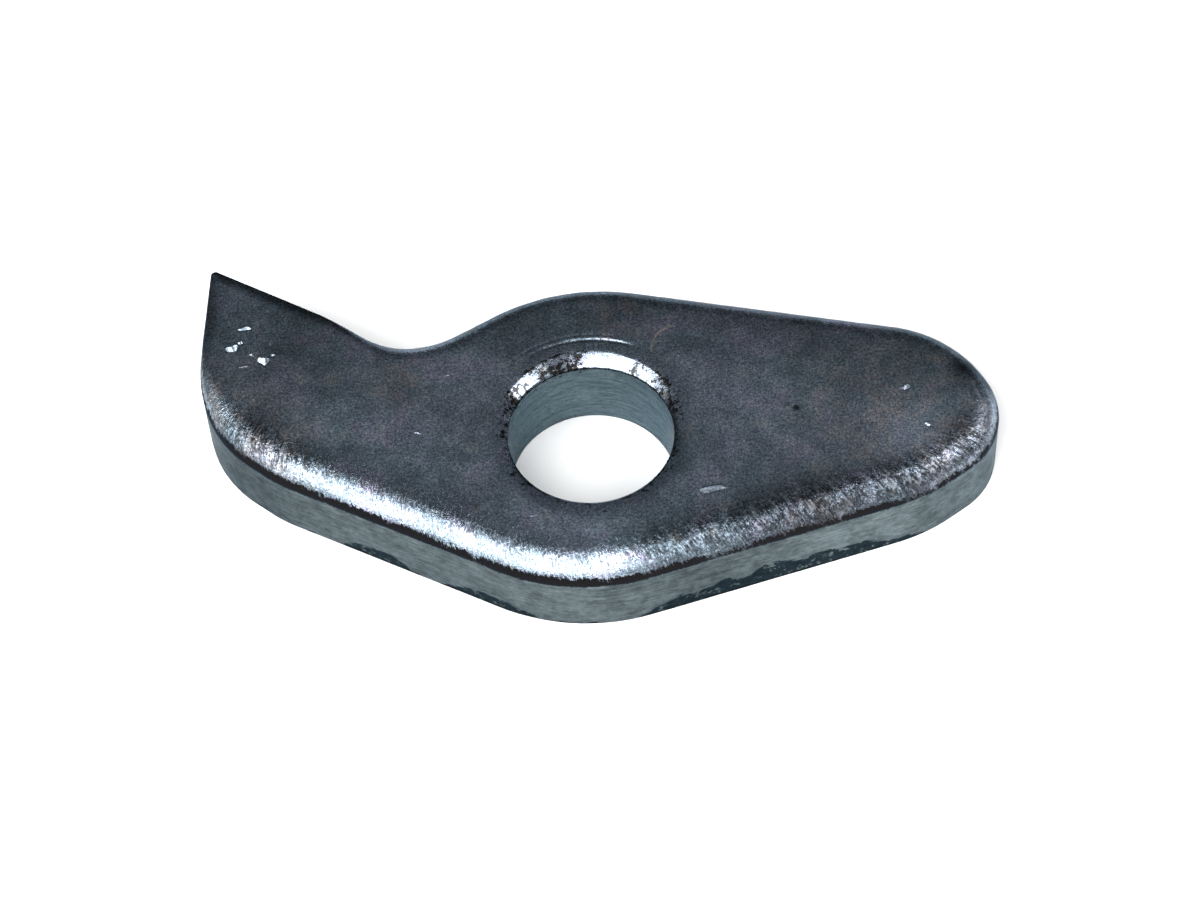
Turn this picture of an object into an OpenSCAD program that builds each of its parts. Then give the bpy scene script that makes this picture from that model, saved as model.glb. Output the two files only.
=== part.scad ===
// Ratchet pawl, blanked and pierced from steel plate.
// The origin is on the axis of the pivot hole, in the flat underside that the plate rests on.
// +Z runs up through the hole to the rolled side, +X to the tail and -X to the tooth.
//
// Going round the plate with the metal on the left, each straight stretch of its edge is a line
// with a heading, in degrees from +X, and a distance from the pivot axis. Arcs join the lines.

/* [Plate] */
// Thickness of the plate
plate_t = 6; // [5:0.5:10]
// Width of the upper edge that blanking rolled over
roll_w = 1.7; // [0.8:0.1:2.2]
// Depth of the rolled edge below the upper face
roll_h = 1.5; // [0.6:0.1:2.2]

/* [Pivot hole] */
// Diameter of the hole, for a 10 mm pin
hole_d = 10.5; // [6:0.1:12]
// Width of the broken rim round the top of the hole
rim_w = 0.9; // [0.3:0.1:1.5]
// Depth of that rim
rim_h = 0.5; // [0.2:0.1:1.2]

/* [Back] */
// Heading of the long back edge, from the tail to the hump
back_heading = 166.7; // [166:0.1:170]
// Distance of the back edge from the pivot axis
back_off = 11.8; // [11.6:0.1:12.8]
// Radius of the hump over the hole
hump_r = 13; // [8:0.5:14]
// Heading of the slope from the hump down to the notch
slope_heading = 208.5; // [204:0.5:213]
// Distance of the slope from the pivot axis
slope_off = 11.7; // [10.8:0.1:12.8]

/* [Tooth] */
// Heading of the upper flank of the tooth, which points almost straight at the pivot
flank_heading = 149.5; // [147:0.5:152]
// Distance of the upper flank from the pivot axis
flank_off = 0.3; // [0:0.1:1]
// Radius of the notch between the slope and the flank
notch_r = 6; // [4:0.5:7]
// Radius left on the tip
tip_r = 0.3; // [0.2:0.1:0.8]
// Heading of the outer face of the tooth, down from the tip
face_heading = 265; // [262:0.5:268]
// Distance of the outer face from the pivot axis
face_off = 25.2; // [24.8:0.1:26.5]
// Radius from the outer face round to the heel
face_r = 8.4; // [5:0.2:8.8]
// Width of the rolled edge left along the crisp tooth, as a share of the full roll
tooth_roll = 0.1; // [0.05:0.05:0.5]

/* [Belly] */
// Heading of the heel edge, below the outer face
heel_heading = 320; // [318:0.5:320.5]
// Distance of the heel edge from the pivot axis
heel_off = 14; // [13.8:0.1:14.1]
// Radius between the heel and the underside
heel_r = 9.5; // [4:0.5:10]
// Heading of the underside, from the heel to the belly
under_heading = 331.4; // [331:0.1:334]
// Distance of the underside from the pivot axis
under_off = 10.9; // [10.8:0.1:11.4]
// Radius of the belly below the hole
belly_r = 13; // [8:0.5:14]

/* [Tail] */
// Heading of the lower edge, from the belly to the tail
lower_heading = 15; // [13:0.5:15.5]
// Distance of the lower edge from the pivot axis
lower_off = 10.6; // [10.5:0.1:11]
// Heading of the short edge under the end of the tail
chin_heading = 34; // [33:0.5:35]
// Distance of the chin from the pivot axis
chin_off = 16.1; // [16:0.1:16.4]
// Heading of the end of the tail
end_heading = 119.4; // [118:0.1:120.5]
// Distance of the end edge from the pivot axis
end_off = 23.5; // [23.2:0.1:23.7]
// Radius at the outer end of the tail
nose_r = 5.1; // [4:0.1:5.2]
// Radius between the lower edge and the chin
chin_r = 12; // [6:0.5:12]
// Radius between the end of the tail and the back edge
cheek_r = 8.1; // [6:0.1:8.5]

/* [Hidden] */
$fn = 96;

facet = 4;        // degrees of arc to each flat of a round corner
tip_facet = 23;   // the same on the small radius of the tip
flat_l = 2;       // longest flat along a straight edge
roll_steps = 6;   // flats across the rolled edge
hub = [-8, 0];    // a point inside the plate that sees its whole outline

// Distances from the tip at which the roll starts to grow, and at which it has its full size
flank_fade = [7.5, 14];
face_fade = [6, 16];

// Edges as [heading, distance], and the radius of the corner between each edge and the next
edges = [
    [flank_heading, flank_off], [face_heading, face_off], [heel_heading, heel_off],
    [under_heading, under_off], [lower_heading, lower_off], [chin_heading, chin_off],
    [end_heading, end_off], [back_heading, back_off], [slope_heading, slope_off]
];
radii = [tip_r, face_r, heel_r, belly_r, chin_r, nose_r, cheek_r, hump_r, notch_r];
last = len(edges) - 1;

// Outward normal of a heading, and the point where two edges meet
function out(a) = [sin(a), -cos(a)];
function meet(e, f) = let (n = out(e[0]), m = out(f[0]))
    [e[1] * m.y - f[1] * n.y, f[1] * n.x - e[1] * m.x] / cross(n, m);

// The corner after edge i: its turn is positive where it bulges out and negative in the notch
function next(i) = (i + 1) % len(edges);
function turn(i) = (edges[next(i)][0] - edges[i][0] + 540) % 360 - 180;
function bend(i) = sign(turn(i)) * radii[i];
function centre(i) = let (e = edges[i], f = edges[next(i)])
    meet([e[0], e[1] - bend(i)], [f[0], f[1] - bend(i)]);
function on_corner(i, a) = centre(i) + bend(i) * out(a);

// The straight after corner i, from one arc's end to the next arc's start
function straight(i) = let (a = edges[next(i)][0]) on_corner(next(i), a) - on_corner(i, a);
function along(i) = let (a = edges[next(i)][0]) straight(i) * [cos(a), sin(a)];
assert(min([for (i = [0 : last]) along(i)]) > 0, "two corner radii overlap on one edge");

// The outline as [point, outward normal], first each corner's arc and then the straight after it
function wall() = [
    for (i = [0 : last])
        let (a = edges[i][0], b = edges[next(i)][0],
             arcs = ceil(abs(turn(i)) / (radii[i] < 1 ? tip_facet : facet)),
             flats = ceil(along(i) / flat_l))
        each concat(
            [for (k = [0 : arcs]) let (h = a + turn(i) * k / arcs) [on_corner(i, h), out(h)]],
            [for (k = [1 : 1 : flats - 1]) [on_corner(i, b) + straight(i) * k / flats, out(b)]])
];

// Share of the full roll at a point of the wall: the tooth is crisp, on both sides of its tip
tip = centre(0);
function share(p) =
    let (fade = cross(p - tip, hub - tip) < 0 ? flank_fade : face_fade,
         grown = (norm(p - tip) - fade[0]) / (fade[1] - fade[0]))
    tooth_roll + (1 - tooth_roll) * min(max(grown, 0), 1);

// Section of the roll as [inset, drop below the upper face], an arc that is flat at its top
roll_r = (roll_w * roll_w + roll_h * roll_h) / (2 * roll_h);
roll_sweep = asin(min(roll_w / roll_r, 1));
roll = [
    for (k = [roll_steps : -1 : 0]) let (a = roll_sweep * k / roll_steps)
        [roll_w - roll_r * sin(a), roll_r * (1 - cos(a))]
];

// Blanked plate: its wall, its rolled edge, and the two flat faces fanned from the hub
module blank() {
    rim = wall();
    n = len(rim);
    foot = [for (w = rim) [w[0].x, w[0].y, 0]];
    rolled = [
        for (r = roll, w = rim) let (s = share(w[0]), p = w[0] - r[0] * s * w[1])
            [p.x, p.y, plate_t - r[1] * s]
    ];
    points = concat(foot, rolled, [[hub.x, hub.y, 0], [hub.x, hub.y, plate_t]]);
    low = len(points) - 2;
    top = len(roll) * n;
    steps = [for (k = [0 : n - 1]) [k, (k + 1) % n]];
    polyhedron(points, concat(
        [for (s = steps) [low, s[0], s[1]]],
        [for (s = steps) [low + 1, top + s[1], top + s[0]]],
        [for (l = [0 : n : top - n], s = steps) each [
            [l + s[0], l + n + s[0], l + n + s[1]],
            [l + s[0], l + n + s[1], l + s[1]]
        ]]
    ));
}

module pivot_hole() {
    r = hole_d / 2;
    over = 1;
    translate([0, 0, -over]) cylinder(d = hole_d, h = plate_t + 2 * over);
    translate([0, 0, plate_t - rim_h])
        cylinder(r1 = r, r2 = r + rim_w * (1 + over / rim_h), h = rim_h + over);
}

module pawl() {
    color([0.30, 0.33, 0.38]) difference() {
        blank();
        pivot_hole();
    }
}

pawl();
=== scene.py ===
"""Ratchet pawl in zinc-plated steel: a worn surface, a pale floor, soft light and a camera."""

import math
from types import SimpleNamespace

import bpy
import numpy as np
from mathutils import Matrix, Vector, geometry, noise


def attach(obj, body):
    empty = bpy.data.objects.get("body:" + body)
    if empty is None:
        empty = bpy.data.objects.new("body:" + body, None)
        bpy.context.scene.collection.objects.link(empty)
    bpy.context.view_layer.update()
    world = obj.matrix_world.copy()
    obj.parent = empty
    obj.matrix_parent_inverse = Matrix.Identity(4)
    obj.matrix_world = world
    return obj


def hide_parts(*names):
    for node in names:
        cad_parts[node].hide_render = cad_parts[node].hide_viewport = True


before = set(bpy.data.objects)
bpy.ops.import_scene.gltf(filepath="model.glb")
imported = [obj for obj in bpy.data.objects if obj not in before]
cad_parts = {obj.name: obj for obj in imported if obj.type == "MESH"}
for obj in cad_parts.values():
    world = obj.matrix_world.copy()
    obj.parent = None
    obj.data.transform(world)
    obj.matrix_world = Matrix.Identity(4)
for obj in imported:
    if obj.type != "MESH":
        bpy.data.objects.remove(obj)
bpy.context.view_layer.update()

MM = 0.001

# ---------------------------------------------------------------------------
# The plate, in millimetres: the same edges and corners as the CAD part
# ---------------------------------------------------------------------------

PLATE_T = 6.0
HOLE_R = 5.25
ROLL_DROP = 1.5           # depth of the rolled edge below the top
ROLL_WIDTH = 1.7          # its width along the back and the tail
ROLL_WIDTH_FRONT = 1.85   # its width along the heel and the belly
TOOTH_ROLL = 0.1          # share of the roll that is left along the crisp tooth
FLANK_FADE = (7.5, 14.0)  # distances from the tip over which the roll grows, on each side
FACE_FADE = (5.0, 12.0)
RIM_WIDTH = 0.9           # broken rim round the top of the hole
RIM_DROP = 0.5
TOP_SINK = 0.012          # the top lies this far below the full thickness, which leaves room for its waviness

# Each straight stretch of the outline: its heading in degrees and its distance from the pivot
EDGES = [
    (149.5, 0.3),   # flank of the tooth
    (265.0, 25.2),  # outer face of the tooth
    (320.0, 14.0),  # heel
    (331.4, 10.9),  # underside
    (15.0, 10.6),   # lower edge
    (34.0, 16.1),   # chin
    (119.4, 23.5),  # end of the tail
    (166.7, 11.8),  # back
    (208.5, 11.7),  # slope into the notch
]
# Radius of the corner between each stretch and the next
RADII = [0.3, 8.4, 9.5, 13.0, 12.0, 5.1, 8.1, 13.0, 6.0]

# Fineness of the mesh: distances between points, and numbers of rows and columns
COLUMN_STEP = 0.2         # along the outline
MIN_CORNER_COLUMNS = 10   # on even the smallest corner
WALL_ROWS = 22
ROLL_ROWS = 16
APRON = (0.2, 0.4, 0.6)   # rows laid on the top just inside the roll, times the share of the roll
TOP_STEP = 0.2
UNDER_STEP = 0.7
MARK_STEP = 0.055         # round each small mark on the top
TRIANGLE_RISE = 0.866     # height of an equal-sided triangle, as a share of its side
BORE_COLUMNS = 220
BORE_ROWS = 22
RIM_ROWS = 7


def outward(heading):
    """Unit normal that points out of the plate from an edge with that heading."""
    a = math.radians(heading)
    return np.array([math.sin(a), -math.cos(a)])


def meet(e, f):
    """The point where two edges, each a heading and a distance, cross."""
    n, m = outward(e[0]), outward(f[0])
    return np.array([e[1] * m[1] - f[1] * n[1], f[1] * n[0] - e[1] * m[0]]) / (n[0] * m[1] - n[1] * m[0])


def corner(i):
    """Centre, signed radius, first heading and turn of the corner after edge i."""
    e, f = EDGES[i], EDGES[(i + 1) % len(EDGES)]
    turn = (f[0] - e[0] + 540) % 360 - 180
    bend = math.copysign(RADII[i], turn)
    return meet((e[0], e[1] - bend), (f[0], f[1] - bend)), bend, e[0], turn


def outline():
    """Points and outward normals round the plate, starting in the middle of the tooth's tip."""
    points, normals = [], []
    for i in range(len(EDGES)):
        centre, bend, heading, turn = corner(i)
        length = abs(bend) * math.radians(abs(turn))
        arcs = max(MIN_CORNER_COLUMNS, math.ceil(length / COLUMN_STEP))
        for k in range(arcs):
            n = outward(heading + turn * k / arcs)
            points.append(centre + bend * n)
            normals.append(n)
        n = outward(heading + turn)
        start = centre + bend * n
        next_centre, next_bend, _, _ = corner((i + 1) % len(EDGES))
        end = next_centre + next_bend * n
        flats = max(1, math.ceil(np.linalg.norm(end - start) / COLUMN_STEP))
        for k in range(flats):
            points.append(start + (end - start) * k / flats)
            normals.append(n)
    return np.array(points), np.array(normals)


def smooth(x, low, high):
    """Smooth step from 0 at low to 1 at high. High may be below low."""
    t = np.clip((x - low) / (high - low), 0.0, 1.0)
    return t * t * (3.0 - 2.0 * t)


def mix(a, b, t):
    """From a where t is 0 to b where t is 1."""
    return a + (b - a) * t


EDGE_POINTS, EDGE_NORMALS = outline()
COLUMNS = len(EDGE_POINTS)
STEPS = np.linalg.norm(np.roll(EDGE_POINTS, -1, 0) - EDGE_POINTS, axis=1)
ALONG = np.concatenate([[0.0], np.cumsum(STEPS)[:-1]])   # length along the outline at each column
RING_R = STEPS.sum() / (2 * math.pi)                     # radius of a circle as long as the outline
LEAN = 0.4                    # drift along the edge of a mark drawn 1 mm across it
TIP = corner(0)[0]
HUB = np.array([-8.0, 0.0])   # a point inside, to tell one side of the tip from the other


def roll_share():
    """Share of the full roll at each column. The tooth is crisp on both sides of its tip."""
    away = EDGE_POINTS - TIP
    to_hub = HUB - TIP
    flank = away[:, 0] * to_hub[1] - away[:, 1] * to_hub[0] < 0
    distance = np.linalg.norm(away, axis=1)
    grown = np.where(flank, smooth(distance, *FLANK_FADE), smooth(distance, *FACE_FADE))
    return TOOTH_ROLL + (1 - TOOTH_ROLL) * grown


SHARE = roll_share()
FACING = -EDGE_NORMALS[:, 1]     # 1 where the edge faces the front, -1 where it faces the back
FRONT = smooth(FACING, 0.1, 0.7)
LEFT = smooth(EDGE_POINTS[:, 0], 9.0, -1.0)
WIDTH = mix(ROLL_WIDTH, ROLL_WIDTH_FRONT, FRONT * LEFT) * SHARE
DROP = ROLL_DROP * SHARE
DRAWN = mix(0.25, 1.0, FRONT)    # how strongly the metal was drawn out across the roll


def section(k):
    """Inset, drop and length along the section of the roll at share k of the way in from the wall."""
    radius = (WIDTH ** 2 + DROP ** 2) / (2 * DROP)
    sweep = np.arcsin(np.clip(WIDTH / radius, 0, 1))
    a = sweep * (1 - k)
    return WIDTH - radius * np.sin(a), radius * (1 - np.cos(a)), radius * sweep * k


def ring_vector(along, across):
    """Seamless coordinates round the plate: a circle as long as the outline, and the way across the edge.
    They lean a little, so that marks drawn across the roll are slightly oblique."""
    a = (along + LEAN * np.maximum(across, 0.0)) / RING_R
    across = np.broadcast_to(across, np.shape(along))
    return np.stack([RING_R * np.cos(a), RING_R * np.sin(a), across], axis=1)


def fields(points, scale, seed, octaves=2):
    """Fractal noise from -1 to 1 at each point, with features of about scale millimetres."""
    offset = Vector((seed * 17.3, seed * -9.1, seed * 4.7))
    return np.array([
        noise.fractal(Vector(p) / scale + offset, 1.0, 2.0, octaves, noise_basis="PERLIN_ORIGINAL")
        for p in points
    ])


def nearest_edge(xy):
    """Column of the outline nearest each point, the distance to it, and the length along the outline."""
    column = np.empty(len(xy), int)
    batch = 2000
    for first in range(0, len(xy), batch):
        part = xy[first:first + batch]
        column[first:first + batch] = np.argmin(((part[:, None] - EDGE_POINTS[None]) ** 2).sum(2), axis=1)
    n = EDGE_NORMALS[column]
    away = xy - EDGE_POINTS[column]
    tangent = np.column_stack([-n[:, 1], n[:, 0]])
    return column, np.linalg.norm(away, axis=1), ALONG[column] + (away * tangent).sum(1)


# ---------------------------------------------------------------------------
# Relief of the top and of the wall, in millimetres
# ---------------------------------------------------------------------------

# Slivers and flakes, each a small plate tipped up at the back: x, y, length, width, angle, tip in degrees
FLAKES = [
    (-21.8, 9.5, 0.95, 0.24, 2.0, 34.0),
    (-22.6, 8.0, 0.90, 0.42, 22.0, 30.0),
    (-22.1, 8.4, 0.36, 0.24, -10.0, 32.0),
    (-20.6, 6.9, 0.80, 0.44, -2.0, 33.0),
    (-20.0, 7.3, 0.32, 0.20, -25.0, 30.0),
    (-21.4, 7.4, 0.34, 0.18, -30.0, 28.0),
    (-20.9, 9.0, 0.40, 0.13, -60.0, 26.0),
    (-20.2, 8.2, 0.45, 0.13, -70.0, 26.0),
    (-21.9, 6.5, 0.75, 0.15, 4.0, 24.0),
    (7.3, -4.9, 1.80, 0.42, 2.0, 16.0),
    (21.1, -1.0, 0.40, 0.20, -35.0, 32.0),
    (-10.9, 0.6, 0.55, 0.15, -20.0, 26.0),
    (-8.9, 4.9, 0.60, 0.12, 12.0, 24.0),
    (20.0, 1.9, 0.75, 0.34, 8.0, 18.0),
    (-3.9, -6.1, 0.50, 0.12, 4.0, 20.0),
]
FLAKE_BOW = 0.16      # how far a flake is bowed, as a share of its width
FLAKE_RAGGED = 0.07   # how uneven its outline is, as a share of its size

# Round shallow dents and pits: x, y, radius, depth
PITS = [
    (13.0, 0.9, 0.34, 0.030),
    (-11.5, -1.5, 0.40, 0.018),
    (-14.2, 1.4, 0.34, 0.014),
    (17.7, -0.5, 0.40, 0.016),
    (18.3, 2.3, 0.36, 0.014),
    (9.9, 4.6, 0.24, 0.016),
]
PIT_LIP = 0.25        # height of the lip round a pit, as a share of its depth

# Grooves turned round the hole: radius, half-width, depth, and the degrees over which each starts and ends
GROOVES = [
    (7.05, 0.20, 0.075, (60, 72), (92, 132)),
    (7.45, 0.15, 0.020, (70, 84), (120, 138)),
    (6.35, 0.26, 0.010, (-155, -135), (-95, -60)),
]


def flake_height(xy, flake):
    """Height of one flake: low at its front edge, high at its back edge, with a short drop behind."""
    x, y, length, width, angle, tip = flake
    a = math.radians(angle)
    u = (xy[:, 0] - x) * math.cos(a) + (xy[:, 1] - y) * math.sin(a)
    v = -(xy[:, 0] - x) * math.sin(a) + (xy[:, 1] - y) * math.cos(a)
    bowed = v + FLAKE_BOW * width * np.sin(7.0 * u / length + 3.0 * x)
    reach = np.hypot(u / (length / 2), bowed / (width * 0.62))
    reach = reach + FLAKE_RAGGED * np.sin(11.0 * u / length + 5.0 * y)
    return math.tan(math.radians(tip)) * np.clip(bowed, -width / 2, width / 2) * smooth(reach, 1.12, 0.82)


def mark_height(xy):
    """Height that the small marks add to the top."""
    h = np.zeros(len(xy))
    for flake in FLAKES:
        h += flake_height(xy, flake)
    for x, y, radius, depth in PITS:
        d = np.hypot(xy[:, 0] - x, xy[:, 1] - y)
        h -= depth * smooth(d, radius, radius * 0.2)
        h += depth * PIT_LIP * smooth(d, radius * 1.5, radius) * smooth(d, radius * 0.7, radius)
    r = np.hypot(xy[:, 0], xy[:, 1])
    angle = np.degrees(np.arctan2(xy[:, 1], xy[:, 0]))
    for radius, half_width, depth, start, end in GROOVES:
        here = smooth(angle, *start) * smooth(angle, end[1], end[0])
        h -= depth * here * smooth(np.abs(r - radius), half_width, 0.0)
    return h


def top_height(xy):
    """Height of the top face over the underside: nearly flat, with a slow waviness and the marks."""
    flat = [(x, y, 0.0) for x, y in xy]
    slow = fields(flat, 4.5, 1.0)
    quick = fields(flat, 0.9, 2.0)
    return PLATE_T - TOP_SINK + 0.006 * slow + 0.0012 * quick + mark_height(xy)


def torn_height():
    """Height of the torn zone above the underside, at each column. Blanking leaves it along the lower edge:
    high on the right of the front, in two patches on the left, and low all along the back."""
    x = EDGE_POINTS[:, 0]
    front = smooth(FACING, 0.3, 0.8)
    right = smooth(x, 1.5, 7.0) * smooth(x, 23.0, 13.0)
    left = 1.15 * smooth(np.abs(x + 14.0), 2.8, 0.8) + smooth(np.abs(x + 7.0), 3.6, 0.8)
    back = 0.35 * (1 - front)
    ragged = fields(ring_vector(ALONG, 0.0), 1.6, 5.0, 3)
    return np.clip((1.75 * right + left) * front + back + 0.55 * ragged * (0.4 + right * front), 0.0, 2.4)


# ---------------------------------------------------------------------------
# Tones painted on the mesh, most of them painted light and shade
# ---------------------------------------------------------------------------

# Brightness of the top from place to place, mostly painted light and shade: x, y, radius in millimetres, and
# the share of light it keeps
LIGHT_AND_SHADE_SPOTS = [
    (-18.5, 8.0, 7.0, 0.55),     # tooth
    (-24.0, 11.0, 5.0, 0.75),    # outer side of the tooth, below its tip
    (-8.5, 6.0, 5.0, 1.45),      # beside the notch
    (-24.0, 4.0, 3.0, 0.88),     # left edge below the tooth
    (-22.6, 3.9, 2.4, 1.50),     # pale patch beside that edge
    (-22.0, 1.0, 3.0, 0.72),     # where the rolled edge starts
    (-17.0, 1.0, 6.0, 1.06),     # middle of the left arm
    (21.5, -1.5, 7.5, 1.18),     # tail
    (23.9, 3.2, 1.5, 0.40),      # painted dark reflection: a crescent at the end of the tail
    (-0.5, -7.5, 6.0, 1.55),     # painted highlight on the belly
    (12.5, -8.4, 8.5, 0.47),     # painted shade dimming the roll's highlight to the right of the belly
    (19.8, -6.0, 3.6, 0.45),     # the darker end of that stretch
    (20.5, -2.2, 3.4, 1.45),     # painted glare on the tail
    (13.0, 0.9, 0.42, 0.12),     # darker in the pit
    (12.5, 1.2, 0.26, 0.25),     # darker beside it
]
# Brownish spots of the top: x, y, radius
WARM_SPOTS = [
    (-23.0, 4.2, 4.5), (-21.0, 3.0, 3.0), (2.0, 8.8, 3.0), (-12.0, 4.5, 3.0), (18.5, 0.5, 8.0),
    (22.0, -2.0, 6.0), (-20.0, 0.5, 4.5), (14.0, -7.5, 5.0),
]
# Painted light and shade along the wall: x, reach along x, and the share of light it keeps
WALL_LIGHT_AND_SHADE = [(-22.0, 7.0, 0.70), (6.5, 7.0, 0.72), (17.0, 6.0, 1.22), (25.0, 4.0, 1.25)]


def wall_painted_light():
    """Painted light and shade on each column of the wall, as the share of light it keeps."""
    tone = np.ones(COLUMNS)
    for x, reach, share in WALL_LIGHT_AND_SHADE:
        tone *= mix(1.0, share, smooth(np.abs(EDGE_POINTS[:, 0] - x), reach, 0.0))
    return tone


def painted_light_of(xy):
    """Painted light and shade on the top, as the share of light kept: dark reflection painted towards the
    back.
    """
    column, distance, _ = nearest_edge(xy)
    back = smooth(-FACING[column], 0.0, 0.5)
    off_tooth = smooth(xy[:, 0], -16.0, -8.0)
    # painted dark reflection: darker towards the back, and in a band along the edges that face it
    tone = 1.0 - back * off_tooth * (0.36 * smooth(distance, 8.0, 2.0) + 0.06 * smooth(distance, 2.6, 1.2))
    tone *= 1.0 - 0.78 * smooth(-FACING[column], -0.2, 0.3) * smooth(distance, 1.1, 0.25)
    for x, y, radius, share in LIGHT_AND_SHADE_SPOTS:
        d = np.hypot(xy[:, 0] - x, xy[:, 1] - y)
        tone *= mix(1.0, share, smooth(d, radius, 0.0))
    return tone


def warm_of(xy):
    """Share of a brownish tint at each point of the top."""
    warm = np.zeros(len(xy))
    for x, y, radius in WARM_SPOTS:
        warm = np.maximum(warm, smooth(np.hypot(xy[:, 0] - x, xy[:, 1] - y), radius, radius * 0.2))
    return warm


def broken_highlight_of(xy):
    """1 where the roll's highlight is broken into patches: its left end, and to the right of the belly."""
    left = smooth(xy[:, 0], -15.0, -19.5)
    right = smooth(xy[:, 0], 1.0, 4.0)
    return np.maximum(left, right)


def painted(xy):
    """The layers of the top that depend only on the place: painted light and shade, tint, broken highlight.
    """
    return {"shade": painted_light_of(xy), "warm": warm_of(xy), "worn": broken_highlight_of(xy)}


# ---------------------------------------------------------------------------
# Mesh
# ---------------------------------------------------------------------------

class Shell:
    """Collects vertices, the layers painted on them, and faces."""

    # edge: drawn-out look of the roll      wall, bore, rim: which surface it is
    # seam: painted dark reflection under the roll    tear: torn zone of the wall
    # shade: painted light and shade, as share of light kept    warm: brownish tint
    # worn: roll's highlight broken up, dark patches painted in    grime: dirt on the broken rim
    LAYERS = ("edge", "wall", "bore", "rim", "seam", "tear", "shade", "warm", "worn", "grime")

    def __init__(self):
        self.points = []
        self.rings = []
        self.layers = {name: [] for name in self.LAYERS}
        self.faces = []

    def add(self, points, rings, **layers):
        """Adds vertices and returns their numbers. A layer that isn't named is 0."""
        first = sum(len(p) for p in self.points)
        self.points.append(np.asarray(points, float))
        self.rings.append(np.asarray(rings, float))
        for name in self.LAYERS:
            self.layers[name].append(np.broadcast_to(layers.get(name, 0.0), (len(points),)).astype(float))
        return np.arange(first, first + len(points))

    def plan(self, numbers):
        """Where those vertices lie, seen from above."""
        return np.concatenate(self.points)[numbers][:, :2]

    def join(self, rows):
        """Quads between each closed row and the next. They face a viewer who sees the rows run right
        and follow upwards, or run left and follow downwards."""
        for a, b in zip(rows, rows[1:]):
            self.faces.extend(np.stack([a, np.roll(a, -1), np.roll(b, -1), b], axis=1).tolist())

    def build(self, name):
        """The finished object, in metres."""
        mesh = bpy.data.meshes.new(name)
        points = np.concatenate(self.points) * MM
        mesh.from_pydata(points.tolist(), [], self.faces)
        ring = mesh.attributes.new("ring", "FLOAT_VECTOR", "POINT")
        ring.data.foreach_set("vector", np.concatenate(self.rings).astype(np.float32).ravel())
        for layer, parts in self.layers.items():
            made = mesh.attributes.new(layer, "FLOAT", "POINT")
            made.data.foreach_set("value", np.concatenate(parts).astype(np.float32))
        mesh.shade_smooth()
        mesh.validate()
        mesh.update()
        obj = bpy.data.objects.new(name, mesh)
        bpy.context.scene.collection.objects.link(obj)
        return obj


BURR = 0.10         # how far the wall is rounded off where it meets the underside
BURR_TOP = 0.035    # height at which most of that is over
WALL_FOOT = 0.11    # height of the first full row of the wall


def lay_outside(shell):
    """The wall, the roll and the apron, from the underside up. Returns the lowest and innermost rows."""
    torn = torn_height()
    lit = wall_painted_light()
    wave = fields(ring_vector(ALONG, 0.0), 3.0, 3.0, 2)
    right = smooth(EDGE_POINTS[:, 0], 2.0, 6.0)
    patchy = fields(ring_vector(ALONG, 0.0), 1.7, 12.0, 3)
    # strength of the painted dark reflection in the crease, patchy along the outline
    crease_shade_share = np.clip(0.90 - 0.16 * right + 0.45 * patchy, 0.55, 1.1)
    wall_top = PLATE_T - DROP
    rows = []

    def row(inset, z, across, **layers):
        place = EDGE_POINTS - EDGE_NORMALS * np.broadcast_to(inset, (COLUMNS,))[:, None]
        points = np.column_stack([place, np.broadcast_to(z, (COLUMNS,))])
        rows.append(shell.add(points, ring_vector(ALONG, across), **{**painted(place), **layers}))

    burr = BURR + 0.04 * wave
    row(burr, 0.0, -wall_top, wall=0.5, tear=0.5)
    row(burr * 0.3, BURR_TOP, -wall_top, wall=1.0, tear=1.0)
    for k in range(WALL_ROWS):
        z = WALL_FOOT + (wall_top - WALL_FOOT) * k / WALL_ROWS
        across = z - wall_top
        grain = fields(ring_vector(ALONG, across * 2.0), 0.45, 4.0, 2)
        in_tear = smooth(z, torn + 0.12, torn - 0.12)
        inset = in_tear * (0.05 + 0.035 * grain) + 0.010 * (1 + wave) * 0.5
        near_top = smooth(wall_top - z, 0.35, 0.0)
        row(inset, z, across, wall=1.0 - 0.5 * near_top, tear=in_tear, seam=near_top * 0.7 * crease_shade_share,
            shade=mix(lit, 1.0, near_top))
    for k in range(ROLL_ROWS + 1):
        t = k / ROLL_ROWS
        inset, drop, across = section(t)
        ripple = fields(ring_vector(ALONG, across * 0.25), 0.5, 6.0, 2)
        dip = 0.010 * SHARE * smooth(t, 0.0, 0.15) * smooth(t, 1.0, 0.8) * (1 + ripple)
        row(inset + dip * 0.7, PLATE_T - drop - dip - TOP_SINK * t, across, edge=DRAWN,
            seam=smooth(t, 0.40, 0.04) * crease_shade_share, wall=0.5 * smooth(t, 0.10, 0.0))
    for a in APRON:
        inset = WIDTH + a * SHARE
        across = section(1.0)[2] + a * SHARE
        z = top_height(EDGE_POINTS - EDGE_NORMALS * inset[:, None])
        row(inset, z, across, edge=DRAWN * (1.0 - 0.3 * a))
    shell.join(rows)
    return rows[0], rows[-1]


def rim_grime(degrees):
    """Dirt on the broken rim: patches on the far side, more on the left and right, less on the near side."""
    between = 0.34 * smooth(degrees, 86, 93) * smooth(degrees, 132, 124)
    sides = 0.30 * np.maximum(smooth(degrees, 126, 150), smooth(degrees, 54, 36))
    sides *= mix(0.62, 1.0, smooth(np.sin(np.radians(degrees)), -0.05, 0.35))
    few = 0.12 + 0.32 * smooth(degrees, 63, 59) * smooth(degrees, 51, 55)
    few += 0.13 * smooth(degrees, 124, 132) * smooth(degrees, 165, 150)
    return np.clip(sides + between + few, 0.0, 1.0)


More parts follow.
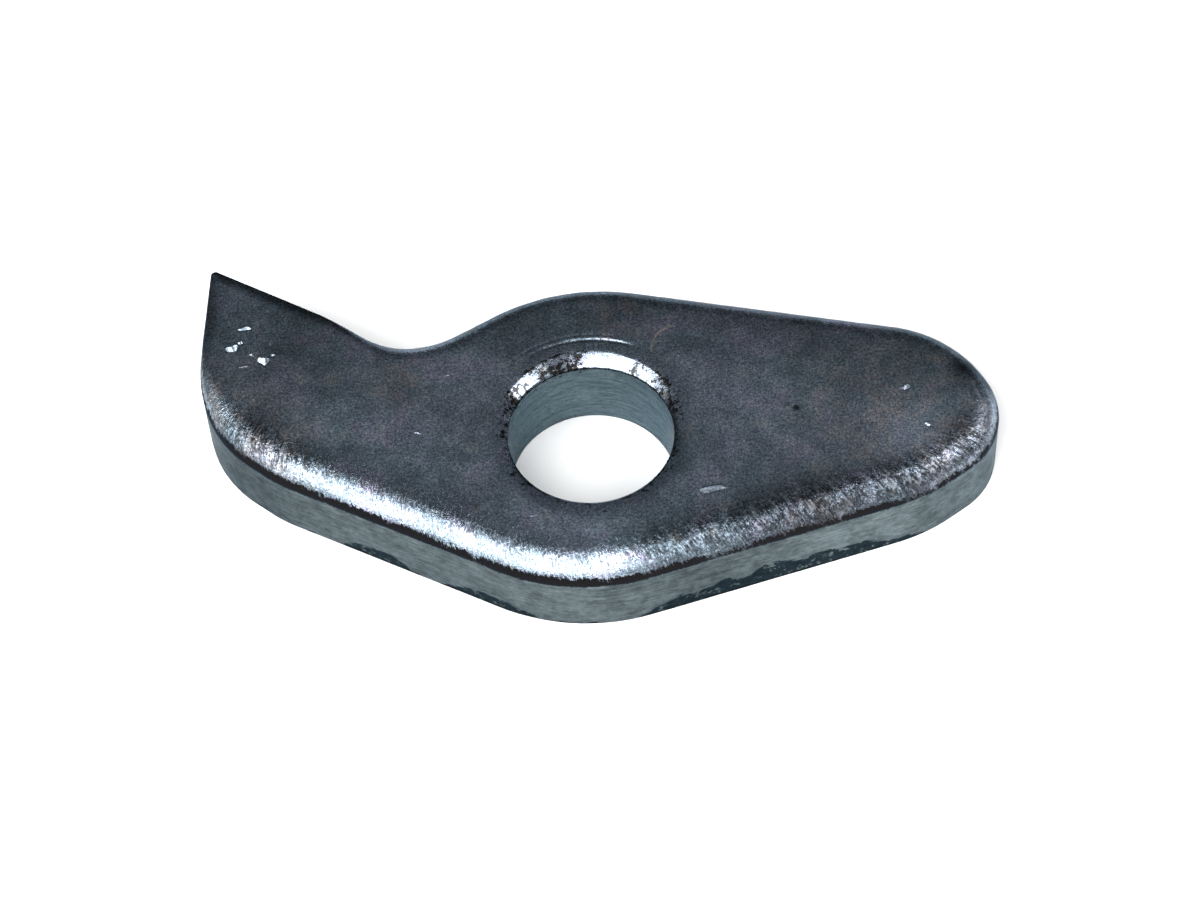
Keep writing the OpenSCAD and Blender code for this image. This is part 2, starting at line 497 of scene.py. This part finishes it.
RIM_FAR = 92            # the rim is widest here, in degrees round the hole
BORE_FLARE = 0.08       # the bore is wider by this at its lower edge, over the same height
NEAR_RIM_PAINTED_SHADE = 0.30    # painted dark reflection: share of light the near side of the rim keeps


def rim_spread(turn):
    """1 on the far side of the rim and 0 on the near side, and low on the left, where it all but ends."""
    far = ((1 + np.cos(turn - math.radians(RIM_FAR))) / 2) ** 1.1
    degrees = np.degrees(turn)
    return far * mix(1.0, 0.25, smooth(degrees, 144, 162) * smooth(degrees, 230, 190))


def lay_hole(shell):
    """The bore and its broken rim, from the top down. Returns the top row and the lowest row."""
    turn = np.arange(BORE_COLUMNS) * 2 * math.pi / BORE_COLUMNS
    unit = np.column_stack([np.cos(turn), np.sin(turn)])
    circle = np.column_stack([unit * 3.0, np.zeros(BORE_COLUMNS)])
    uneven = fields(circle, 1.3, 8.0, 2)
    chatter = fields(circle, 0.35, 9.0, 2)
    far = rim_spread(turn)
    width = RIM_WIDTH * (mix(0.22, 1.12, far) + 0.03 * uneven)
    drop = RIM_DROP * (mix(0.40, 1.08, far) + 0.03 * uneven)
    grime = rim_grime(np.degrees(turn))
    # painted dark reflection on the near side of the rim
    rim_painted_shade = mix(NEAR_RIM_PAINTED_SHADE, 1.0, smooth(np.sin(turn - math.radians(12)), 0.0, 0.45))
    # painted shade: the bore a little darker on its left and right
    bore_painted_shade = 1.0 - 0.05 * np.abs(np.cos(turn))
    rows = []

    def row(radius, z, down, **layers):
        ring = unit * np.broadcast_to(radius, (BORE_COLUMNS,))[:, None]
        points = np.column_stack([ring, np.broadcast_to(z, (BORE_COLUMNS,))])
        rings = np.column_stack([unit * HOLE_R, np.broadcast_to(down, (BORE_COLUMNS,))])
        rows.append(shell.add(points, rings, **{**painted(points[:, :2]), **layers}))

    outer = HOLE_R + width
    top_tone = painted_light_of(unit * outer[:, None])
    for k in range(RIM_ROWS + 1):
        t = k / RIM_ROWS
        facet = 0.012 * chatter * math.sin(math.pi * t) * smooth(far, 0.2, 0.6)
        z = PLATE_T - TOP_SINK - drop * t ** 1.1 + facet
        if k == 0:
            z = top_height(unit * outer[:, None])
        row(outer - width * t, z, -t, rim=1.0, bore=0.5 * smooth(t, 0.8, 1.0), grime=grime,
            shade=mix(top_tone, rim_painted_shade, smooth(t, 0.3, 0.9)))
    start = PLATE_T - TOP_SINK - drop
    for k in range(1, BORE_ROWS + 1):
        t = k / BORE_ROWS
        z = start * (1 - t) + BORE_FLARE * t
        line = 0.008 * fields(np.column_stack([unit * 4.0, z * 0.3]), 0.7, 10.0, 2)
        row(HOLE_R + line, z, -1 - (start - z), bore=1.0, rim=smooth(t, 0.05, 0.0),
            grime=grime * smooth(t, 0.16, 0.0), shade=bore_painted_shade)
    row(HOLE_R + BORE_FLARE, 0.0, -1 - start, bore=0.5, shade=bore_painted_shade)
    shell.join(rows)
    return rows[0], rows[-1]


def lattice(low, high, step):
    """A triangular lattice of points over a box."""
    found = []
    for j in range(int((high[1] - low[1]) / (step * TRIANGLE_RISE)) + 1):
        y = low[1] + j * step * TRIANGLE_RISE
        x = np.arange(low[0] + (j % 2) * step / 2, high[0], step)
        found.append(np.column_stack([x, np.full(len(x), y)]))
    return np.concatenate(found)


def inside(points, loop):
    """True for each point inside a closed loop."""
    result = np.zeros(len(points), bool)
    for (x0, y0), (x1, y1) in zip(loop, np.roll(loop, -1, 0)):
        if y0 == y1:
            continue
        crosses = (y0 > points[:, 1]) != (y1 > points[:, 1])
        reach = x0 + (points[:, 1] - y0) * (x1 - x0) / (y1 - y0)
        result ^= crosses & (points[:, 0] < reach)
    return result


def clear_of(points, others, limit):
    """The points that are farther than limit from all the others."""
    keep = np.ones(len(points), bool)
    batch = 2000
    for first in range(0, len(points), batch):
        part = points[first:first + batch]
        d = np.min(((part[:, None] - others[None]) ** 2).sum(2), axis=1)
        keep[first:first + batch] = d > limit ** 2
    return points[keep]


def without_twins(points, limit):
    """Leaves out any point that falls in the same cell, of size limit, as an earlier one."""
    cell = np.round(points / limit).astype(int)
    _, first = np.unique(cell, axis=0, return_index=True)
    return points[np.sort(first)]


def face_points(outer_loop, inner_radius, step, marks=()):
    """Lattice points inside the outer loop and outside the hole, closer together round each mark."""
    low, high = outer_loop.min(0), outer_loop.max(0)
    points = lattice(low, high, step)
    radius = np.hypot(points[:, 0], points[:, 1])
    points = points[(radius > inner_radius + step * 0.7) & inside(points, outer_loop)]
    points = clear_of(points, outer_loop, step * 0.6)
    for x, y, reach in marks:
        d = np.hypot(points[:, 0] - x, points[:, 1] - y)
        points = points[d > reach]
        fine = lattice((x - reach, y - reach), (x + reach, y + reach), MARK_STEP)
        fine = fine[np.hypot(fine[:, 0] - x, fine[:, 1] - y) < reach - MARK_STEP]
        points = np.concatenate([points, fine])
    return points


def fine_spots():
    """Where the top needs a closer mesh, each as x, y and reach: flakes, pits and the deeper grooves."""
    spots = [(x, y, max(length * 0.62, 0.35)) for x, y, length, _, _, _ in FLAKES]
    spots += [(x, y, radius * 1.7) for x, y, radius, _ in PITS]
    for degrees in range(54, 128, 4):
        a = math.radians(degrees)
        spots.append((7.2 * math.cos(a), 7.2 * math.sin(a), 0.5))
    return spots


def lay_face(shell, outer, inner, extra, up):
    """A face between an outer and an inner row, as a triangle mesh through the extra points."""
    loops = [shell.plan(outer), shell.plan(inner)]
    points = np.concatenate([*loops, extra])
    n, m = len(outer), len(inner)
    edges = [(i, (i + 1) % n) for i in range(n)] + [(n + i, n + (i + 1) % m) for i in range(m)]
    made, _, triangles, source, _, _ = geometry.delaunay_2d_cdt(
        [Vector(p) for p in points], edges, [], 1, 1e-7)
    column, distance, along = nearest_edge(extra)
    if up:
        roll_length = section(1.0)[2][column]
        across = roll_length + distance - WIDTH[column]
        edge = smooth(across - roll_length, 2.0, 0.0) * 0.82 * DRAWN[column]
        rim = smooth(np.hypot(extra[:, 0], extra[:, 1]) - HOLE_R - RIM_WIDTH, 1.6, 0.0) * 0.45
        numbers = shell.add(np.column_stack([extra, top_height(extra)]), ring_vector(along, across),
                            edge=edge, rim=rim, **painted(extra))
    else:
        flat = np.column_stack([extra, np.zeros(len(extra))])
        numbers = shell.add(flat, ring_vector(along, distance), shade=1.0)
    lookup = np.concatenate([outer, inner, numbers])
    middles = np.array([[made[i] for i in corners] for corners in triangles]).mean(1)
    for corners, in_hole in zip(triangles, inside(middles, loops[1])):
        if in_hole:
            continue
        if any(len(source[i]) == 0 for i in corners):
            raise RuntimeError("a face point is not one of the points given")
        face = [int(lookup[source[i][0]]) for i in corners]
        shell.faces.append(face if up else face[::-1])


def make_body():
    """The whole plate as one closed mesh."""
    shell = Shell()
    foot, apron = lay_outside(shell)
    hole_top, hole_foot = lay_hole(shell)
    hole_loop = shell.plan(hole_top)
    widest = np.linalg.norm(hole_loop, axis=1).max()
    top = face_points(shell.plan(apron), widest, TOP_STEP, fine_spots())
    top = without_twins(clear_of(top, hole_loop, TOP_STEP * 0.6), 0.03)
    lay_face(shell, apron, hole_top, top, True)
    under = face_points(shell.plan(foot), HOLE_R + 0.1, UNDER_STEP)
    lay_face(shell, foot, hole_foot, under, False)
    body = shell.build("pawl_body")
    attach(body, "root")
    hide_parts("pawl")
    return body


# ---------------------------------------------------------------------------
# Zinc-plated steel
# ---------------------------------------------------------------------------

class Graph:
    """Short calls that add nodes to a node tree and link them."""

    def __init__(self, tree):
        self.tree = tree
        tree.nodes.clear()

    def node(self, kind, inputs=None, **settings):
        made = self.tree.nodes.new(kind)
        for name, value in settings.items():
            setattr(made, name, value)
        for name, value in (inputs or {}).items():
            socket = made.inputs[name]
            if isinstance(value, bpy.types.NodeSocket):
                self.tree.links.new(value, socket)
            else:
                socket.default_value = value
        return made

    def math(self, operation, a, b=0.0):
        return self.node("ShaderNodeMath", {0: a, 1: b}, operation=operation).outputs[0]

    def product(self, first, *others):
        for other in others:
            first = self.math("MULTIPLY", first, other)
        return first

    def total(self, first, *others):
        for other in others:
            first = self.math("ADD", first, other)
        return first

    def vector_math(self, operation, a, b=(0.0, 0.0, 0.0)):
        return self.node("ShaderNodeVectorMath", {0: a, 1: b}, operation=operation)

    def scaled(self, vector, factors):
        return self.vector_math("MULTIPLY", vector, factors).outputs[0]

    def parts(self, vector):
        """The x, y and z of a vector."""
        return self.node("ShaderNodeSeparateXYZ", {0: vector}).outputs

    def noise(self, vector, scale, detail=2.0, rough=0.5, twist=0.0):
        made = self.node(
            "ShaderNodeTexNoise",
            {"Vector": vector, "Scale": scale, "Detail": detail, "Roughness": rough, "Distortion": twist},
        )
        return made.outputs["Fac"]

    def span(self, value, low, high, to_low=0.0, to_high=1.0):
        """Smooth step of value from low to high."""
        made = self.node(
            "ShaderNodeMapRange",
            {"Value": value, "From Min": low, "From Max": high, "To Min": to_low, "To Max": to_high},
            interpolation_type="SMOOTHSTEP",
        )
        return made.outputs[0]

    def swing(self, pattern, size):
        """A pattern as a swing of that size about 0."""
        return self.product(self.math("SUBTRACT", pattern, 0.5), size)

    def kept(self, mask, share):
        """1 where the mask is 0, and less by that share where it is 1."""
        return self.math("SUBTRACT", 1.0, self.product(mask, share))

    def present(self, layer, gain):
        """1 nearly everywhere that a layer isn't 0."""
        return self.math("MINIMUM", self.product(layer, gain), 1.0)

    def grey(self, value):
        return self.node("ShaderNodeCombineColor", {0: value, 1: value, 2: value}).outputs[0]

    def blend(self, factor, a, b, kind="MIX"):
        made = self.node("ShaderNodeMix", {0: factor, 6: a, 7: b}, data_type="RGBA", blend_type=kind)
        return made.outputs[2]

    def times(self, a, b):
        """One colour multiplied by another."""
        return self.blend(1.0, a, b, "MULTIPLY")

    def layer(self, name):
        return self.node("ShaderNodeAttribute", attribute_name=name, attribute_type="GEOMETRY")

    def bump(self, height, depth, normal=None):
        """A normal that shows a height pattern as relief, in metres, on top of another normal."""
        inputs = {"Height": height, "Strength": 1.0, "Distance": depth}
        if normal is not None:
            inputs["Normal"] = normal
        return self.node("ShaderNodeBump", inputs).outputs[0]


def colour(r, g, b):
    return (r, g, b, 1.0)


SLATE = colour(0.255, 0.300, 0.370)
TEAL = colour(0.225, 0.290, 0.345)
PLUM = colour(0.280, 0.285, 0.375)
OLIVE = colour(0.280, 0.300, 0.300)
WARM = colour(0.265, 0.260, 0.275)
FLECK = colour(0.62, 0.64, 0.66)
SCRATCH_TAN = colour(0.52, 0.45, 0.41)
WALL_GREY = colour(0.093, 0.114, 0.119)
WALL_TORN = colour(0.004, 0.008, 0.011)
BORE_GREY = colour(0.106, 0.147, 0.165)
# painted dark reflection along the crease where the roll meets the wall
CREASE_SHADE_COLOUR = colour(0.012, 0.011, 0.012)
RIM_DARK = colour(0.028, 0.027, 0.026)
EDGE_TINT = colour(0.50, 0.55, 0.60)   # tint of the reflection at a grazing angle

SCRATCH_BEND = (6.05, 5.95, 0.0)       # centre of the scratch's arc, in millimetres
SCRATCH_R = 1.9

# Depth of each relief pattern, in metres
GRAIN_DEPTH = 0.000005
SPECKLE_DEPTH = 0.000010
CUT_DEPTH = 0.000020
STIPPLE_DEPTH = 0.000045
HAIR_DEPTH = 0.000050


def patterns(g):
    """The layers painted on the mesh, by name, and the noises that break up the surface."""
    mm = g.scaled(g.node("ShaderNodeTexCoord").outputs["Object"], (1 / MM, 1 / MM, 1 / MM))
    ring = g.layer("ring").outputs["Vector"]
    p = SimpleNamespace(mm=mm, ring=ring)
    for name in Shell.LAYERS:
        setattr(p, name, g.layer(name).outputs["Fac"])
    p.patches = g.noise(mm, 0.16, 3.0, 0.55)
    p.mottle = g.noise(g.scaled(mm, (1.0, 1.0, 1.7)), 0.31, 4.0, 0.6, 0.6)
    p.cloud = g.noise(mm, 0.9, 4.0, 0.65)
    p.speckle = g.noise(mm, 5.5, 3.0, 0.7)
    p.grain = g.noise(mm, 11.0, 2.0, 0.6)
    p.chips = g.noise(mm, 4.5, 3.0, 0.7)
    p.hairs = g.noise(g.scaled(ring, (7.5, 7.5, 1.5)), 1.0, 4.0, 0.70, 0.8)
    p.tufts = g.noise(g.scaled(ring, (1.6, 1.6, 1.2)), 1.0, 3.0, 0.60, 0.5)
    long_streaks = g.noise(g.scaled(ring, (0.45, 0.45, 4.5)), 1.0, 4.0, 0.65, 0.3)
    short_streaks = g.noise(g.scaled(ring, (2.4, 2.4, 6.0)), 1.0, 4.0, 0.70, 0.4)
    p.streaks = g.total(g.product(long_streaks, 0.5), g.product(short_streaks, 0.5))
    return p


def top_tone(g, p):
    """Share of light on the top: speckle, painted light and shade, and painted dark patches and hairs in the
    roll's highlight.
    """
    blotch = g.total(g.product(p.hairs, 0.45), g.product(p.chips, 0.25), g.product(p.tufts, 0.30))
    # painted shade: dark patches that break up the roll's highlight
    broken = g.product(p.worn, p.edge, g.span(blotch, 0.56, 0.48))
    across = g.parts(p.ring)[2]
    # painted shade: dark hairs that fray the inner edge of the roll's highlight
    fringe = g.product(g.span(across, 0.9, 1.5), g.span(across, 3.2, 1.9), p.edge, g.span(blotch, 0.53, 0.45))
    return g.product(
        g.span(p.speckle, 0.30, 0.72, 0.62, 1.42),
        g.span(p.grain, 0.25, 0.75, 0.75, 1.25),
        g.kept(broken, 0.62),
        g.kept(fringe, 0.62),
        g.span(p.mottle, 0.32, 0.68, 0.84, 1.18),
        p.shade,
    )


def top_colour(g, p):
    """Slate mottled with teal, plum and olive, a brownish tint in places and light flecks, under the painted
    light and shade.
    """
    base = g.blend(g.span(p.patches, 0.42, 0.62), SLATE, TEAL)
    base = g.blend(g.span(p.mottle, 0.52, 0.70), base, PLUM)
    base = g.blend(g.span(p.cloud, 0.56, 0.76), base, OLIVE)
    base = g.blend(g.product(p.warm, 0.85, g.span(p.cloud, 0.36, 0.66)), base, WARM)
    base = g.times(base, g.grey(top_tone(g, p)))
    flecks = g.noise(g.scaled(p.mm, (1.0, 1.5, 1.0)), 2.7, 2.0, 0.6)
    return g.blend(g.product(g.span(flecks, 0.68, 0.74), 0.55, p.shade), base, FLECK)


def scratch_mask(g, p):
    """1 along a thin scratch, bent like an arc, to the upper right of the hole."""
    flat = g.scaled(p.mm, (1.0, 1.0, 0.0))
    radius = g.vector_math("DISTANCE", flat, SCRATCH_BEND).outputs["Value"]
    off_line = g.math("ABSOLUTE", g.math("SUBTRACT", radius, SCRATCH_R))
    x, y, _ = g.parts(flat)
    line = g.product(g.span(x, 5.8, 5.2), g.span(y, 5.6, 6.0), g.span(off_line, 0.11, 0.04))
    return g.product(line, g.span(p.speckle, 0.35, 0.55, 0.3, 1.0))


def cut_colours(g, p):
    """Colours of the wall and of the bore, streaked along the cut, under their painted light and shade. The
    wall is torn low down.
    """
    streaks = g.times(g.grey(g.span(p.streaks, 0.34, 0.66, 0.62, 1.38)), g.grey(p.shade))
    stains = g.grey(g.span(p.cloud, 0.35, 0.70, 1.15, 0.72))
    wall = g.times(g.times(WALL_GREY, streaks), stains)
    torn = g.total(p.tear, g.swing(g.noise(p.mm, 2.2, 4.0, 0.72), 4.5))
    torn_here = g.product(g.span(torn, 0.45, 0.75), 0.9, g.present(p.tear, 6.0))
    return g.blend(torn_here, wall, WALL_TORN), g.times(BORE_GREY, streaks)


def crease_shade_mask(g, p):
    """1 on the ragged line of painted dark reflection where the roll meets the wall."""
    jag = g.total(g.product(p.hairs, 0.6), g.product(p.chips, 0.4))
    ragged = g.total(p.seam, g.swing(jag, 2.4))
    return g.product(g.span(ragged, 0.36, 0.56), g.present(p.seam, 6.0))


def dirt_mask(g, p):
    """1 on the chips of dirt on the rim of the hole."""
    dirty = g.total(p.grime, g.swing(g.noise(p.mm, 2.6, 4.0, 0.7), 2.2))
    return g.product(g.span(dirty, 0.35, 0.55), g.present(p.grime, 8.0))


def steel_colour(g, p):
    """Colour of the whole surface: top, wall and bore, with painted dark reflection in the crease and dirt on
    the rim.
    """
    wall, bore = cut_colours(g, p)
    base = g.blend(scratch_mask(g, p), top_colour(g, p), SCRATCH_TAN)
    base = g.blend(g.span(p.wall, 0.35, 0.65), base, wall)
    base = g.blend(g.span(p.bore, 0.45, 0.7), base, bore)
    base = g.blend(crease_shade_mask(g, p), base, CREASE_SHADE_COLOUR)
    return g.blend(dirt_mask(g, p), base, RIM_DARK)


def steel_roughness(g, p):
    """Glossier on the roll and the rim, duller on the wall and where the roll's highlight is broken."""
    return g.total(
        g.span(p.cloud, 0.3, 0.7, 0.26, 0.36),
        g.product(p.edge, -0.11),
        g.swing(p.speckle, 0.15),
        g.product(p.worn, p.edge, 0.09),
        g.product(p.wall, 0.14),
        g.product(p.rim, -0.12),
    )


def steel_relief(g, p):
    """Fine grain all over, hairs across the roll, stipple where its highlight is broken, streaks on wall and
    bore.
    """
    normal = g.bump(p.grain, GRAIN_DEPTH)
    normal = g.bump(p.speckle, SPECKLE_DEPTH, normal)
    normal = g.bump(g.product(p.hairs, p.edge, g.kept(p.worn, 0.62)), HAIR_DEPTH, normal)
    normal = g.bump(g.product(p.chips, p.edge, p.worn), STIPPLE_DEPTH, normal)
    return g.bump(g.product(p.streaks, g.math("MAXIMUM", p.wall, p.bore)), CUT_DEPTH, normal)


def steel():
    """Zinc over blanked steel: mottled on top, drawn out across the roll and streaked on the wall."""
    material = bpy.data.materials.new("zinc_plated_steel")
    material.use_nodes = True
    g = Graph(material.node_tree)
    p = patterns(g)
    inputs = {
        "Base Color": steel_colour(g, p),
        "Roughness": steel_roughness(g, p),
        "Normal": steel_relief(g, p),
        "Metallic": 1.0,
        "Specular Tint": EDGE_TINT,
    }
    shader = g.node("ShaderNodeBsdfPrincipled", inputs)
    g.node("ShaderNodeOutputMaterial", {"Surface": shader.outputs[0]})
    return material


# ---------------------------------------------------------------------------
# Studio
# ---------------------------------------------------------------------------

KEY_FROM = (-0.52, -0.66, 0.54)   # direction of the large soft box, front left and above
KEY_FULL, KEY_EDGE = 38.0, 43.0   # degrees from its centre where it starts and ends to fall off
KEY_FOOT = (0.24, 0.46)           # it also fades out downwards, between these heights of its direction
KEY_POWER = 8.0
SIDE_FROM = (0.66, 0.03, 0.75)    # a small soft box high on the right
SIDE_FULL, SIDE_EDGE = 10.0, 15.0
SIDE_POWER = 9.0
ROOM_BACK = colour(0.12, 0.13, 0.14)
ROOM_FRONT = colour(0.50, 0.51, 0.52)


def soft_box(g, way, towards, full, edge, power):
    """Light of a round soft box on the world: full within one angle of its centre, and none past another."""
    centre = Vector(towards).normalized()
    facing = g.vector_math("DOT_PRODUCT", way, tuple(centre)).outputs["Value"]
    return g.span(facing, math.cos(math.radians(edge)), math.cos(math.radians(full)), 0.0, power)


def studio_light():
    """Two soft boxes in a dim room, painted on the world by direction."""
    world = bpy.data.worlds.new("studio")
    bpy.context.scene.world = world
    world.use_nodes = True
    g = Graph(world.node_tree)
    way = g.vector_math("NORMALIZE", g.node("ShaderNodeTexCoord").outputs["Generated"]).outputs[0]
    _, y, z = g.parts(way)
    room = g.blend(g.span(y, 0.9, -0.6), ROOM_BACK, ROOM_FRONT)
    key = g.product(soft_box(g, way, KEY_FROM, KEY_FULL, KEY_EDGE, KEY_POWER), g.span(z, *KEY_FOOT))
    side = soft_box(g, way, SIDE_FROM, SIDE_FULL, SIDE_EDGE, SIDE_POWER)
    light = g.blend(1.0, room, g.grey(g.total(key, side)), "ADD")
    background = g.node("ShaderNodeBackground", {"Color": light, "Strength": 1.0})
    g.node("ShaderNodeOutputWorld", {"Surface": background.outputs[0]})


FLOOR_HALF = 2.5   # metres
FLOOR_WHITE = colour(0.86, 0.86, 0.86)


def floor():
    """A large pale floor under the plate."""
    half = FLOOR_HALF
    mesh = bpy.data.meshes.new("floor")
    corners = [(-half, -half, 0.0), (half, -half, 0.0), (half, half, 0.0), (-half, half, 0.0)]
    mesh.from_pydata(corners, [], [(0, 1, 2, 3)])
    obj = bpy.data.objects.new("floor", mesh)
    bpy.context.scene.collection.objects.link(obj)
    material = bpy.data.materials.new("pale_floor")
    material.use_nodes = True
    shader = material.node_tree.nodes["Principled BSDF"]
    shader.inputs["Base Color"].default_value = FLOOR_WHITE
    shader.inputs["Roughness"].default_value = 0.9
    shader.inputs["Specular IOR Level"].default_value = 0.0
    mesh.materials.append(material)


CAMERA_AT = (0.00051, -0.13014, 0.19672)   # metres
CAMERA_DOWN = 56.0    # degrees below the horizon
CAMERA_ROLL = -3.39   # degrees
CAMERA_LENS = 110.3   # millimetres
CAMERA_SENSOR = 36.0  # millimetres


def camera():
    """A camera in front of the plate, looking down at it."""
    data = bpy.data.cameras.new("camera")
    data.sensor_width = CAMERA_SENSOR
    data.lens = CAMERA_LENS
    data.clip_start = 0.01
    obj = bpy.data.objects.new("camera", data)
    bpy.context.scene.collection.objects.link(obj)
    tilt = Matrix.Rotation(math.radians(90.0 - CAMERA_DOWN), 4, "X")
    roll = Matrix.Rotation(math.radians(CAMERA_ROLL), 4, "Z")
    obj.matrix_world = Matrix.Translation(CAMERA_AT) @ tilt @ roll
    bpy.context.scene.camera = obj


body = make_body()
body.data.materials.append(steel())
floor()
studio_light()
camera()
bpy.context.scene.view_settings.view_transform = "Standard"
